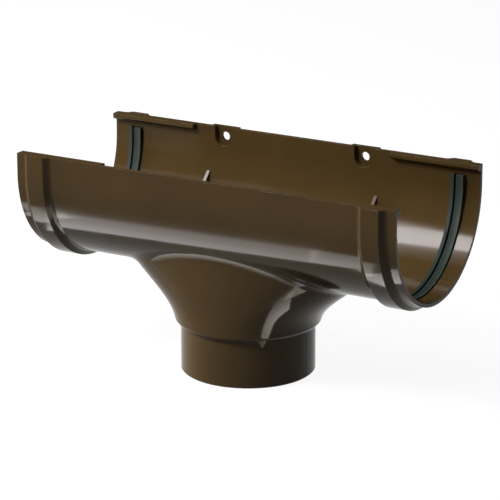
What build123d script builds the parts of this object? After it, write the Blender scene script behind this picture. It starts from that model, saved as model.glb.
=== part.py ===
from build123d import *
import math
import os

# Half-round gutter outlet. X runs along the gutter, +Y is the fascia side, +Z is up.
# The origin is the centre of the spigot's lower end. All sizes are millimetres.

# Trough
trough_length = 279.0
trough_radius = 63.5
leg_height = 14.5
wall = 2.5

# Seal housings: a raised ring near each end, with a seal's groove on its inner side
housing_end_land = 7.0
housing_slope = 3.0
housing_flat = 12.3
housing_rise = 3.7
housing_foot_round = 3.5

# Hooks that the gutter snaps under, on the four ends of the two lips
hook_length = 64.0
hook_reach = 4.4
hook_depth = 4.2
hook_chamfer = 1.5

# Flare from the trough down to its collar
flare_drop = 33.4
flare_radius = 75.0
flare_start_angle = 26.0
flare_end_angle = 62.0
flare_mouth_angle = 45.0
flare_sections = 4
flare_inner_rings = 8
flare_mouth_widening = 0.5
flare_mouth_overlap = 5.0
flare_blend = 12.0
collar_step = 3.0
collar_round = 2.4
collar_inner_rise = 6.0

# Spigot that enters the downpipe
spigot_diameter = 90.0
spigot_length = 33.1
spigot_end_bevel = 0.8

# Screw points in the fascia wall
screw_spacing = 107.0
screw_below_lip = 7.0
screw_hole_diameter = 6.2
pocket_radius = 6.8
pocket_depth = 3.0
boss_radius = 10.2

# Stop fins on both walls
fin_spacing = 128.6
fin_thickness = 2.4
fin_below_lip = 31.5
fin_reach = 6.9

# Rubber seals, which lie in the housings
seal_clearance = 0.25
seal_base_thickness = 2.2
seal_below_lip = 8.6
seal_narrow_rib = 2.4
seal_slot = 1.5
seal_wide_rib = 5.1
seal_stand_at_legs = 2.4
seal_stand_at_bottom = 0.9

# Places worked out from the driving sizes
cut_over = 1.0
half_length = trough_length / 2
inner_radius = trough_radius - wall
spigot_radius = spigot_diameter / 2
collar_radius = spigot_radius + collar_step
flare_mouth_half_width = collar_radius + flare_mouth_widening
collar_z = spigot_length
axis_z = collar_z + flare_drop + trough_radius
lip_z = axis_z + leg_height
mouth_top_z = axis_z - math.sqrt(trough_radius**2 - flare_mouth_half_width**2) + flare_mouth_overlap
housing_outer_end = half_length - housing_end_land
housing_inner_end = housing_outer_end - 2 * housing_slope - housing_flat
housing_centre = (housing_outer_end + housing_inner_end) / 2
groove_radius = inner_radius + housing_rise
seal_width = seal_narrow_rib + seal_slot + seal_wide_rib
seal_leg = leg_height - seal_below_lip


def u_solid(half_profile, height, axis_height=axis_z):
    """Turn a length-by-radius profile into a half round with straight legs above its axis."""
    full_profile = half_profile + mirror(half_profile, about=Plane.XZ)
    lower_half = Rot(180, 0, 0) * revolve(half_profile, Axis.X, 180)
    return Pos(0, 0, axis_height) * (lower_half + extrude(full_profile, height))


def plain_profile(half_span, radius, centre=0.0):
    """Rectangle from the trough's axis out to a radius."""
    return Pos(centre, radius / 2) * Rectangle(2 * half_span, radius)


def housing_profile(centre):
    """Trapezium of a raised housing on the trough's wall."""
    half_flat = housing_flat / 2
    foot = half_flat + housing_slope
    outline = Polyline(
        (centre - foot, trough_radius),
        (centre - half_flat, trough_radius + housing_rise),
        (centre + half_flat, trough_radius + housing_rise),
        (centre + foot, trough_radius),
        (centre + foot, inner_radius),
        (centre - foot, inner_radius),
        close=True,
    )
    return make_face(outline)


def trough_outside():
    """Solid outer form of the trough with both raised housings."""
    profile = plain_profile(half_length, trough_radius)
    for side in (-1, 1):
        profile += housing_profile(side * housing_centre)
    feet = [
        corner
        for corner in profile.vertices()
        if abs(corner.Y - trough_radius) < 0.01 and abs(corner.X) < half_length - 0.01
    ]
    return u_solid(fillet(feet, housing_foot_round), leg_height)


def trough_inside():
    """Space inside the trough, with the grooves that hold the seals."""
    space = u_solid(plain_profile(half_length + cut_over, inner_radius), leg_height + cut_over)
    groove_half_width = seal_width / 2 + seal_clearance
    for side in (-1, 1):
        groove = plain_profile(groove_half_width, groove_radius, side * housing_centre)
        space += u_solid(groove, seal_leg + seal_clearance)
    return space


def flare_half_length(height, inset):
    """Reach of the flare along the trough: an arc that turns outward, then a straight slope."""
    start = math.radians(flare_start_angle)
    end = math.radians(flare_end_angle)
    centre_x = collar_radius + flare_radius * math.cos(start)
    centre_z = collar_z - flare_radius * math.sin(start)
    radius = flare_radius + inset
    arc_top = centre_z + radius * math.sin(end)
    if height < arc_top:
        return centre_x - math.sqrt(radius**2 - (height - centre_z) ** 2)
    slope = math.tan(math.radians(flare_mouth_angle))
    return centre_x - radius * math.cos(end) + (height - arc_top) * slope


def flare_section(height, inset):
    """Elliptical section of the flare at a height, moved inward from its outer face."""
    share = (height - collar_z) / (mouth_top_z - collar_z)
    half_wide = collar_radius + (flare_mouth_half_width - collar_radius) * share - inset
    return (Pos(0, 0, height) * Ellipse(flare_half_length(height, inset), half_wide)).face()


def flare_sections_from(bottom_z, steps, inset):
    """Sections of the flare from a height near the collar up to its mouth in the trough."""
    step = (mouth_top_z - bottom_z) / steps
    return [flare_section(bottom_z + step * count, inset) for count in range(steps + 1)]


def flare_outside():
    """Outer form of the flare, kept within the plain length of the trough."""
    keep = Pos(0, 0, mouth_top_z) * Box(2 * housing_inner_end, 2 * trough_radius, 2 * mouth_top_z)
    return loft(flare_sections_from(collar_z + collar_round, flare_sections, 0.0)) & keep


def collar_outside():
    """Eased lower edge of the collar, as two bevels on a quarter circle."""
    middle = collar_round * (1 - math.cos(math.radians(45)))
    rings = [
        flare_section(collar_z, collar_round),
        flare_section(collar_z + middle, middle),
        flare_section(collar_z + collar_round, 0.0),
    ]
    return loft(rings, ruled=True)


def flare_inside():
    """Water way of the flare, drawn in to the spigot's bore at its foot."""
    foot_z = collar_z + collar_inner_rise
    throat = (Pos(0, 0, collar_z) * Circle(spigot_radius - wall)).face()
    return loft([throat] + flare_sections_from(foot_z, flare_inner_rings, wall), ruled=True)


def spigot_outside():
    """Round spigot with its lower edge eased."""
    spigot = extrude(Circle(spigot_radius), collar_z)
    lower_edge = spigot.edges().group_by(Axis.Z)[0]
    return chamfer(lower_edge, spigot_end_bevel)


def spigot_inside():
    """Bore through the spigot."""
    return Pos(0, 0, -cut_over) * extrude(Circle(spigot_radius - wall), collar_z + 2 * cut_over)


def hook(side_x, side_y):
    """Inward lip at one end of one wall, with its lower inner edge cut off."""
    inner_y = inner_radius - hook_reach
    middle_y = inner_radius + wall / 2
    outline = Polyline(
        (inner_y, lip_z),
        (inner_y, lip_z - hook_depth + hook_chamfer),
        (inner_y + hook_chamfer, lip_z - hook_depth),
        (middle_y, lip_z - hook_depth),
        (middle_y, lip_z),
        close=True,
    )
    bar = extrude(Plane.YZ * make_face(outline), hook_length)
    bar = Pos(half_length - hook_length, 0, 0) * bar
    if side_y < 0:
        bar = mirror(bar, about=Plane.XZ)
    if side_x < 0:
        bar = mirror(bar, about=Plane.YZ)
    return bar


def screw_shape(radius, side_x):
    """Outline of a screw point in the fascia wall: round below, straight up to the lip."""
    outline = Circle(radius) + Pos(0, screw_below_lip / 2) * Rectangle(2 * radius, screw_below_lip)
    outline -= Pos(0, screw_below_lip + radius / 2) * Rectangle(2 * radius, radius)
    place = Plane(
        origin=(side_x * screw_spacing / 2, 0, lip_z - screw_below_lip),
        x_dir=(-1, 0, 0),
        z_dir=(0, 1, 0),
    )
    return place * outline


def screw_boss(side_x):
    """Pad that stands out behind the fascia wall."""
    depth = pocket_depth + wall / 2
    return Pos(0, trough_radius - wall / 2, 0) * extrude(screw_shape(boss_radius, side_x), depth)


def screw_pocket(side_x):
    """Recess in the inner face of the fascia wall, and the hole through its floor."""
    pocket_start = inner_radius - hook_reach
    pocket = extrude(screw_shape(pocket_radius, side_x), hook_reach + pocket_depth)
    hole = Cylinder(screw_hole_diameter / 2, 4 * (pocket_depth + wall), rotation=(90, 0, 0))
    hole_place = (side_x * screw_spacing / 2, trough_radius, lip_z - screw_below_lip)
    return Pos(0, pocket_start, 0) * pocket + Pos(*hole_place) * hole


def fin(side_x, side_y):
    """Thin stop on the inner wall: a sloping upper edge, then straight down to the wall."""
    tip_y = math.sqrt(inner_radius**2 - (fin_below_lip - leg_height) ** 2)
    inner_y = tip_y - fin_reach
    foot_z = axis_z - math.sqrt(inner_radius**2 - inner_y**2)
    tip_z = lip_z - fin_below_lip
    middle = wall / 2
    outline = Polyline(
        (tip_y, tip_z),
        (inner_y, tip_z - fin_reach),
        (inner_y, foot_z),
        (inner_y, foot_z - middle),
        (tip_y + middle, tip_z),
        close=True,
    )
    plate = extrude(Plane.YZ * make_face(outline), fin_thickness / 2, both=True)
    if side_y < 0:
        plate = mirror(plate, about=Plane.XZ)
    return Pos(side_x * fin_spacing / 2, 0, 0) * plate


def outlet_body():
    """The whole moulding: trough, flare, collar, spigot, hooks, screw points and fins."""
    outside = trough_outside() + flare_outside()
    seam = [
        edge
        for edge in outside.edges()
        if edge.geom_type not in (GeomType.LINE, GeomType.CIRCLE)
        and edge.bounding_box().max.Z > axis_z - trough_radius
    ]
    body = fillet(seam, flare_blend) + collar_outside() + spigot_outside()
    for side_x in (-1, 1):
        body += screw_boss(side_x)
    body -= trough_inside()
    body -= flare_inside()
    body -= spigot_inside()
    for side_x in (-1, 1):
        for side_y in (-1, 1):
            body += hook(side_x, side_y)
            body += fin(side_x, side_y)
        body -= screw_pocket(side_x)
    return body


def seal(side_x):
    """U-shaped strip: a flat base in the groove, with a narrow and a wide rib on it."""
    centre = side_x * housing_centre
    outer = groove_radius - seal_clearance
    base_inner = outer - seal_base_thickness
    rib_inner = inner_radius - seal_stand_at_legs
    lowering = seal_stand_at_legs - seal_stand_at_bottom
    slot_centre = centre - seal_width / 2 + seal_narrow_rib + seal_slot / 2
    strip = u_solid(plain_profile(seal_width / 2, outer, centre), seal_leg)
    strip -= u_solid(plain_profile(seal_slot / 2, base_inner, slot_centre), seal_leg + cut_over)
    hollow = plain_profile(seal_width / 2 + cut_over, rib_inner, centre)
    strip -= u_solid(hollow, seal_leg + lowering + cut_over, axis_z - lowering)
    return strip


pieces = {
    "outlet_body": outlet_body(),
    "seal_left": seal(-1),
    "seal_right": seal(1),
}

os.makedirs("parts", exist_ok=True)
for name, piece in pieces.items():
    export_step(piece, f"parts/{name}.step")
    box = piece.bounding_box()
    print(name, "volume", round(piece.volume), "from", box.min, "to", box.max)
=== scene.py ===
import math

import bpy
from mathutils import Euler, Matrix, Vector


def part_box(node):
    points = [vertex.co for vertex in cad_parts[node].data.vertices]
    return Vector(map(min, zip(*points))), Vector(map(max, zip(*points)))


# Half-round gutter outlet with its seals. Lengths are metres and angles are degrees, except where a comment
# says otherwise.
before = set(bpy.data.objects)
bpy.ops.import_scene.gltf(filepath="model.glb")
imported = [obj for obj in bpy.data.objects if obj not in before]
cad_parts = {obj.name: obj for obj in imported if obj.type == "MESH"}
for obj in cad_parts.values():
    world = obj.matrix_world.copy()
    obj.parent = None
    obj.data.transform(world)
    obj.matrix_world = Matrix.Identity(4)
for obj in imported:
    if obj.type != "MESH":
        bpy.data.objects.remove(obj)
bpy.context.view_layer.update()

MM = 0.001

# Camera, solved from the photograph; the centre is in pixels from the left and from the top
IMAGE_SIZE = 500
SENSOR_WIDTH = 36.0
FOCAL_PIXELS = 2876.0
CENTRE_PIXEL = (248.3, 249.8)
CAMERA_AZIMUTH = 29.32
CAMERA_ELEVATION = 17.28
CAMERA_DISTANCE = 1904.4 * MM
TARGET_BELOW_LIP = 62.9 * MM
VIEW_DEPTH = 20.0

# Samples of the rounding of edges
EDGE_SAMPLES = 6

# Brown plastic: its colours, its shine, the radii of its worn and its moulded edges, how much the wear
# shows, and the depths of its waves and its grain
PLASTIC_DARK = (0.0715, 0.0430, 0.0150, 1.0)
PLASTIC_LIGHT = (0.0835, 0.0500, 0.0175, 1.0)
PLASTIC_FLECK = (0.0500, 0.0290, 0.0105, 1.0)
PLASTIC_WORN = (0.1500, 0.0900, 0.0420, 1.0)
PLASTIC_TINT = (1.0, 0.88, 0.72, 1.0)
PLASTIC_SPECULAR = 0.13
PLASTIC_WORN_RADIUS = 0.4 * MM
PLASTIC_EDGE_RADIUS = 0.3 * MM
PLASTIC_WORN_SHARE = 0.18
PLASTIC_WORN_ROUGHNESS = 0.12
PLASTIC_WAVE_DEPTH = 0.02 * MM
PLASTIC_GRAIN_DEPTH = 0.0016 * MM

# Grey-green rubber: the colours of its ribs, of its -X edge and of what lies over them, how much of the
# pale bloom shows, and the depths of its dished rib and its grain
# The wide rib's first two colours are painted shade: darkest at the bottom of its dish, paler on its rims
RUBBER_WIDE_RIB_SHADED = (0.0230, 0.0350, 0.0285, 1.0)
RUBBER_WIDE_RIB_RIMS = (0.0360, 0.0500, 0.0425, 1.0)
RUBBER_NARROW_RIB = (0.0380, 0.0520, 0.0440, 1.0)
RUBBER_EDGE = (0.0250, 0.0530, 0.0500, 1.0)
RUBBER_HATCH = (0.0150, 0.0220, 0.0185, 1.0)
RUBBER_BLOOM = (0.0620, 0.0680, 0.0600, 1.0)
RUBBER_GRAIN = (0.0150, 0.0220, 0.0190, 1.0)
RUBBER_TINT = (1.0, 0.9, 0.72, 1.0)
RUBBER_EDGE_RADIUS = 0.25 * MM
RUBBER_BLOOM_SHARE = 0.3
RUBBER_DISH_DEPTH = 0.35 * MM
RUBBER_GRAIN_DEPTH = 0.012 * MM

# Half-round axis and the strips of the seal across its width, shares of that width
AXIS_BELOW_LIP = 14.5 * MM
NARROW_RIB_END = 0.267
WIDE_RIB_START = 0.433

# Hatching of the narrow rib: its pitch, how far it leans along the seal, how dark and how deep it is
HATCH_PITCH = 1.9 * MM
HATCH_LEAN = 0.7
HATCH_SHARE = 0.85
HATCH_DEPTH = 0.1 * MM

# How much shorter the streaks of the wide rib are across the seal than along it
STREAK_NARROWING = 4.0

# Floor and surroundings: how bright they are by themselves, to the camera and in what mirrors them
WHITE = (1.0, 1.0, 1.0, 1.0)
FLOOR_GREY = (0.14, 0.14, 0.14, 1.0)
FLOOR_ROUGHNESS = 0.9
FLOOR_HALF_WIDTH = 3.0
FLOOR_SEEN = 0.92
FLOOR_MIRRORED = 0.8
WORLD_STRENGTH = 0.03

# Key light: its soft light, and its shine in bands from low to high, each with its share of the radiance;
# a direction is the azimuth and the elevation seen from the part
KEY_DISTANCE = 1.5
KEY_SOFT_DIRECTION = (-41, 44)
KEY_SOFT_SIZE = 0.6
KEY_SOFT_RADIANCE = 20.0
KEY_AZIMUTH = -45.0
KEY_HALF_WIDTH = 12.5
KEY_RADIANCE = 50.0
KEY_COLOUR = (0.73, 0.81, 1.0)
KEY_BANDS = [
    (22.0, 29.0, 0.05), (29.0, 34.0, 0.1), (34.0, 38.0, 0.17), (38.0, 41.5, 0.28), (41.5, 44.5, 0.45),
    (44.5, 60.5, 1.0), (60.5, 64.0, 0.22), (64.0, 68.0, 0.1), (68.0, 74.0, 0.04),
]

# Soft box on the left, and a strip above the trough, a little in front of its axis
SIDE_DIRECTION = (-88, 6)
SIDE_DISTANCE = 1.6
TOP_FORWARD = 15 * MM
TOP_ABOVE_LIP = 350 * MM

# Reflector panels in front of the part: strips that fade out behind a band, as shares of its width
# and of its radiance, and how wide the panels shine
BAND_FADE = [(0.17, 0.5), (0.26, 0.2), (0.48, 0.08)]
REFLECTOR_SPREAD = 120.0
REFLECTOR_COLOUR = (0.9, 0.92, 1.0)

lip_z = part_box("outlet_body")[1].z
target = Vector((0.0, 0.0, lip_z - TARGET_BELOW_LIP))


def direction(azimuth, elevation):
    """Unit vector from the object; azimuth 0 is the front (-Y), 90 is the right (+X)."""
    turn, lift = math.radians(azimuth), math.radians(elevation)
    return Vector((math.sin(turn) * math.cos(lift), -math.cos(turn) * math.cos(lift), math.sin(lift)))


def aim(obj, point):
    """Turn an object so that its -Z axis looks at a point."""
    obj.rotation_euler = (point - obj.location).to_track_quat("-Z", "Y").to_euler()


def add_camera():
    """Camera at the photograph's viewing angle."""
    data = bpy.data.cameras.new("camera")
    data.sensor_width = SENSOR_WIDTH
    data.lens = FOCAL_PIXELS / IMAGE_SIZE * SENSOR_WIDTH
    data.shift_x = (IMAGE_SIZE / 2 - CENTRE_PIXEL[0]) / IMAGE_SIZE
    data.shift_y = (CENTRE_PIXEL[1] - IMAGE_SIZE / 2) / IMAGE_SIZE
    data.clip_end = VIEW_DEPTH
    camera = bpy.data.objects.new("camera", data)
    camera.location = target + direction(CAMERA_AZIMUTH, CAMERA_ELEVATION) * CAMERA_DISTANCE
    aim(camera, target)
    bpy.context.scene.collection.objects.link(camera)
    bpy.context.scene.camera = camera


class Nodes:
    """Node tree of one new material, with short calls for what it is built from."""

    def __init__(self, name):
        self.material = bpy.data.materials.new(name)
        self.material.use_nodes = True
        self.tree = self.material.node_tree
        self.tree.nodes.clear()
        output = self.tree.nodes.new("ShaderNodeOutputMaterial")
        self.shader = self.tree.nodes.new("ShaderNodeBsdfPrincipled")
        self.join(self.shader.outputs["BSDF"], output.inputs["Surface"])

    def join(self, source, socket):
        """Link a socket, or set it to a plain value."""
        if isinstance(source, bpy.types.NodeSocket):
            self.tree.links.new(source, socket)
        else:
            socket.default_value = source

    def calculate(self, operation, first, second=0.0, clamp=False):
        """Result of one Math node."""
        node = self.tree.nodes.new("ShaderNodeMath")
        node.operation = operation
        node.use_clamp = clamp
        self.join(first, node.inputs[0])
        self.join(second, node.inputs[1])
        return node.outputs["Value"]

    def place(self):
        """Point on the part, in metres."""
        return self.tree.nodes.new("ShaderNodeTexCoord").outputs["Object"]

    def noise(self, point, scale, detail=2.0):
        """Soft noise from 0 to 1."""
        node = self.tree.nodes.new("ShaderNodeTexNoise")
        self.join(point, node.inputs["Vector"])
        node.inputs["Scale"].default_value = scale
        node.inputs["Detail"].default_value = detail
        return node.outputs["Fac"]

    def spread(self, value, low, high, to_low=0.0, to_high=1.0):
        """Value stretched from one range to another, and held there at both ends."""
        node = self.tree.nodes.new("ShaderNodeMapRange")
        self.join(value, node.inputs["Value"])
        for socket, number in zip(node.inputs[1:5], (low, high, to_low, to_high)):
            self.join(number, socket)
        return node.outputs["Result"]

    def blend(self, share, first, second):
        """Mix of two colours."""
        node = self.tree.nodes.new("ShaderNodeMix")
        node.data_type = "RGBA"
        self.join(share, node.inputs[0])
        self.join(first, node.inputs[6])
        self.join(second, node.inputs[7])
        return node.outputs[2]

    def bump(self, height, distance, normal):
        """Normal tilted by a height that is a share of a distance in metres."""
        node = self.tree.nodes.new("ShaderNodeBump")
        node.inputs["Strength"].default_value = 1.0
        node.inputs["Distance"].default_value = distance
        self.join(height, node.inputs["Height"])
        self.join(normal, node.inputs["Normal"])
        return node.outputs["Normal"]

    def rounded(self, radius):
        """Normal as it is where each edge has a small radius."""
        node = self.tree.nodes.new("ShaderNodeBevel")
        node.samples = EDGE_SAMPLES
        node.inputs["Radius"].default_value = radius
        return node.outputs["Normal"]

    def edges(self, radius, gain):
        """Mask that is 1 on the edges and 0 on the flat and gently curved faces."""
        facing = self.tree.nodes.new("ShaderNodeVectorMath")
        facing.operation = "DOT_PRODUCT"
        self.join(self.rounded(radius), facing.inputs[0])
        self.join(self.tree.nodes.new("ShaderNodeNewGeometry").outputs["Normal"], facing.inputs[1])
        turned = self.calculate("SUBTRACT", 1.0, facing.outputs["Value"])
        return self.calculate("MULTIPLY", turned, gain, clamp=True)


def plastic_material():
    """Glossy dark brown moulded plastic: faint mottling, fine grain and edges rubbed paler."""
    look = Nodes("brown_plastic_look")
    place = look.place()
    mottle = look.spread(look.noise(place, scale=22.0, detail=3.0), low=0.35, high=0.65)
    fleck = look.spread(look.noise(place, scale=1400.0), low=0.4, high=0.75, to_high=0.18)
    tone = look.blend(mottle, PLASTIC_DARK, PLASTIC_LIGHT)
    tone = look.blend(fleck, tone, PLASTIC_FLECK)
    patchy = look.spread(look.noise(place, scale=420.0), low=0.3, high=0.7)
    worn = look.calculate("MULTIPLY", look.edges(PLASTIC_WORN_RADIUS, gain=2.0), patchy)
    tone = look.blend(look.calculate("MULTIPLY", worn, PLASTIC_WORN_SHARE), tone, PLASTIC_WORN)
    look.join(tone, look.shader.inputs["Base Color"])

    smears = look.noise(place, scale=70.0, detail=4.0)
    roughness = look.spread(smears, low=0.3, high=0.7, to_low=0.085, to_high=0.135)
    dulled = look.calculate("MULTIPLY", worn, PLASTIC_WORN_ROUGHNESS)
    roughness = look.calculate("ADD", roughness, dulled)
    look.join(roughness, look.shader.inputs["Roughness"])

    waves = look.noise(place, scale=45.0)
    grain = look.noise(place, scale=2600.0)
    normal = look.bump(waves, PLASTIC_WAVE_DEPTH, look.rounded(PLASTIC_EDGE_RADIUS))
    normal = look.bump(grain, PLASTIC_GRAIN_DEPTH, normal)
    look.join(normal, look.shader.inputs["Normal"])
    look.join(PLASTIC_SPECULAR, look.shader.inputs["Specular IOR Level"])
    look.join(PLASTIC_TINT, look.shader.inputs["Specular Tint"])
    return look.material


def rubber_material(name, node_name):
    """Satin grey-green rubber: a hatched narrow rib, and a wide rib dished along its middle, with painted
    shade that darkens the bottom of the dish.
    """
    look = Nodes(name)
    low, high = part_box(node_name)
    place = look.place()
    parts = look.tree.nodes.new("ShaderNodeSeparateXYZ")
    look.join(place, parts.inputs[0])

    # Where a point lies: its share of the width, its turn from the bottom in radians, its way along the seal
    across = look.spread(parts.outputs["X"], low.x, high.x)
    below_axis = look.calculate("SUBTRACT", lip_z - AXIS_BELOW_LIP, parts.outputs["Z"])
    turn = look.calculate("ARCTAN2", parts.outputs["Y"], below_axis)
    along = look.calculate("MULTIPLY", turn, high.y)
    narrow = look.calculate("LESS_THAN", across, (NARROW_RIB_END + WIDE_RIB_START) / 2)
    wide = look.calculate("SUBTRACT", 1.0, narrow)

    # Hatching from 0 to 1 on the narrow rib, and the dish of the wide rib, lowest at 60 % of its width
    slant = look.calculate("ADD", parts.outputs["X"], look.calculate("MULTIPLY", along, HATCH_LEAN))
    hatch = look.calculate("SINE", look.calculate("MULTIPLY", slant, 2 * math.pi / HATCH_PITCH))
    hatch = look.calculate("MULTIPLY", look.spread(hatch, -1.0, 1.0), narrow)
    middle = look.spread(across, WIDE_RIB_START, 1.0, to_low=-1.2, to_high=0.8)
    dish = look.calculate("MULTIPLY", look.calculate("MULTIPLY", middle, middle), wide)

    # Streaks that run along the seal, and fine grain
    streaks = look.tree.nodes.new("ShaderNodeCombineXYZ")
    look.join(look.calculate("MULTIPLY", parts.outputs["X"], STREAK_NARROWING), streaks.inputs["X"])
    look.join(along, streaks.inputs["Y"])
    streak = look.spread(look.noise(streaks.outputs["Vector"], scale=260.0, detail=4.0), low=0.35, high=0.7)
    grain = look.noise(place, scale=1800.0, detail=3.0)

    # Painted shade of the dish: the wide rib is darkest at the bottom of its dish and paler towards its rims
    tone = look.blend(dish, RUBBER_WIDE_RIB_SHADED, RUBBER_WIDE_RIB_RIMS)
    tone = look.blend(narrow, tone, RUBBER_NARROW_RIB)
    tone = look.blend(look.spread(across, low=0.02, high=0.1, to_low=0.8, to_high=0.0), tone, RUBBER_EDGE)
    tone = look.blend(look.calculate("MULTIPLY", hatch, HATCH_SHARE), tone, RUBBER_HATCH)
    bloom = look.calculate("MULTIPLY", look.calculate("MULTIPLY", streak, wide), RUBBER_BLOOM_SHARE)
    tone = look.blend(bloom, tone, RUBBER_BLOOM)
    tone = look.blend(look.spread(grain, low=0.45, high=0.75, to_high=0.3), tone, RUBBER_GRAIN)
    look.join(tone, look.shader.inputs["Base Color"])

    roughness = look.spread(streak, low=0.0, high=1.0, to_low=0.55, to_high=0.38)
    look.join(roughness, look.shader.inputs["Roughness"])
    normal = look.bump(dish, RUBBER_DISH_DEPTH, look.rounded(RUBBER_EDGE_RADIUS))
    normal = look.bump(hatch, HATCH_DEPTH, normal)
    normal = look.bump(grain, RUBBER_GRAIN_DEPTH, normal)
    look.join(normal, look.shader.inputs["Normal"])

    # Dull on the front side and at the bottom, and shinier up the fascia side's leg
    shine = look.spread(turn, low=1.0, high=1.35, to_low=0.05, to_high=0.4)
    look.join(shine, look.shader.inputs["Specular IOR Level"])
    look.join(RUBBER_TINT, look.shader.inputs["Specular Tint"])
    return look.material


def dress(node_name, material):
    """Give a CAD node its finish."""
    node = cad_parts[node_name]
    node.data.materials.clear()
    node.data.materials.append(material)


def add_floor():
    """Plain pale floor, far wider than the view, near white to the camera and in what mirrors it."""
    half = FLOOR_HALF_WIDTH
    mesh = bpy.data.meshes.new("floor")
    corners = [(-half, -half, 0), (half, -half, 0), (half, half, 0), (-half, half, 0)]
    mesh.from_pydata(corners, [], [(0, 1, 2, 3)])
    floor = bpy.data.objects.new("floor", mesh)
    bpy.context.scene.collection.objects.link(floor)
    look = Nodes("floor_look")
    look.join(FLOOR_GREY, look.shader.inputs["Base Color"])
    look.join(FLOOR_ROUGHNESS, look.shader.inputs["Roughness"])
    look.join(0.0, look.shader.inputs["Specular IOR Level"])
    look.join(WHITE, look.shader.inputs["Emission Color"])
    path = look.tree.nodes.new("ShaderNodeLightPath")
    mirrored = look.calculate("MAXIMUM", path.outputs["Is Glossy Ray"], path.outputs["Is Transmission Ray"])
    mirrored = look.calculate("MULTIPLY", mirrored, FLOOR_MIRRORED)
    seen = look.calculate("MULTIPLY", path.outputs["Is Camera Ray"], FLOOR_SEEN)
    look.join(look.calculate("MAXIMUM", seen, mirrored), look.shader.inputs["Emission Strength"])
    mesh.materials.append(look.material)


def set_world():
    """Dim even surroundings."""
    world = bpy.data.worlds.new("world")
    world.use_nodes = True
    background = world.node_tree.nodes["Background"]
    background.inputs["Color"].default_value = WHITE
    background.inputs["Strength"].default_value = WORLD_STRENGTH
    bpy.context.scene.world = world


def add_lamp(name, location, point, size, radiance):
    """Rectangular area lamp that faces a point; its strength is the brightness of its face."""
    data = bpy.data.lights.new(name, "AREA")
    data.shape = "RECTANGLE"
    data.size, data.size_y = size
    data.energy = radiance * size[0] * size[1] * math.pi
    lamp = bpy.data.objects.new(name, data)
    lamp.location = location
    aim(lamp, point)
    lamp.visible_camera = False
    bpy.context.scene.collection.objects.link(lamp)
    return lamp


def add_key():
    """Soft box above and to the left: its soft light, and its shine, which fades up and down in steps."""
    place = target + direction(*KEY_SOFT_DIRECTION) * KEY_DISTANCE
    soft = add_lamp("key", place, target, (KEY_SOFT_SIZE, KEY_SOFT_SIZE), KEY_SOFT_RADIANCE)
    soft.visible_glossy = False
    width = 2 * KEY_DISTANCE * math.tan(math.radians(KEY_HALF_WIDTH))
    for low, high, share in KEY_BANDS:
        height = 2 * KEY_DISTANCE * math.tan(math.radians((high - low) / 2))
        place = target + direction(KEY_AZIMUTH, (low + high) / 2) * KEY_DISTANCE
        shine = add_lamp("key_shine", place, target, (width, height), KEY_RADIANCE * share)
        shine.data.color = KEY_COLOUR
        shine.visible_diffuse = False


def add_side_and_top():
    """Soft light from the left, and from a strip above that faces straight down."""
    place = target + direction(*SIDE_DIRECTION) * SIDE_DISTANCE
    side = add_lamp("side", place, target, size=(0.9, 0.35), radiance=33.0)
    side.visible_glossy = False
    above = Vector((0.0, -TOP_FORWARD, lip_z + TOP_ABOVE_LIP))
    top = add_lamp("top", above, target, size=(0.5, 0.06), radiance=6.0)
    top.rotation_euler = (0.0, 0.0, 0.0)
    top.visible_glossy = False


def add_reflector(name, middle, size, turn, radiance, tilt=0.0, spread=REFLECTOR_SPREAD):
    """Panel that faces up and only shows as a highlight; its place and size are in millimetres."""
    place = Vector(middle) * MM
    panel = add_lamp(name, place, target, [side * MM for side in size], radiance)
    facing_up = Euler((math.pi, 0.0, math.radians(turn))).to_matrix()
    panel.rotation_euler = (facing_up @ Euler((0.0, math.radians(tilt), 0.0)).to_matrix()).to_euler()
    panel.data.color = REFLECTOR_COLOUR
    panel.data.spread = math.radians(spread)
    panel.visible_diffuse = False


def add_band(near_edge, length, width, turn, radiance):
    """Reflector behind the middle of its near edge, in strips that fade out; lengths are millimetres."""
    angle = math.radians(turn)
    far_side = Vector((math.sin(angle), -math.cos(angle), 0.0))
    near = 0.0
    for width_share, radiance_share in [(1.0, 1.0)] + BAND_FADE:
        depth = width * width_share
        middle = Vector(near_edge) + far_side * (near + depth / 2)
        add_reflector("band", middle, (length, depth), turn, radiance * radiance_share)
        near += depth


def add_reflectors():
    """Highlights of the trough's front, of the left and the right housing, and of three smaller places."""
    add_band((-74, -67.1, 5), length=205.4, width=52.6, turn=-6.6, radiance=5.3)
    add_band((-206.2, -100.9, 4), length=61, width=25, turn=47, radiance=7.0)
    add_band((77.1, -66.9, 4), length=41, width=35, turn=42, radiance=6.0)

    # Right end of the front, left end land and corner of the flare
    place = (50.7, -104.6, 12)
    add_reflector("band_end", place, size=(45, 49), turn=-12, radiance=4.6, tilt=-17.5, spread=108)
    add_reflector("left_end", (-199.1, -85.6, 4), size=(13, 10.5), turn=47, radiance=7.0)
    add_reflector("corner", (57.5, -66, 30), size=(20, 57), turn=19.5, radiance=8.5, tilt=42)


bpy.context.scene.view_settings.view_transform = "Standard"
add_camera()
set_world()
add_floor()
dress("outlet_body", plastic_material())
dress("seal_left", rubber_material("seal_left_look", "seal_left"))
dress("seal_right", rubber_material("seal_right_look", "seal_right"))
add_side_and_top()
add_key()
add_reflectors()
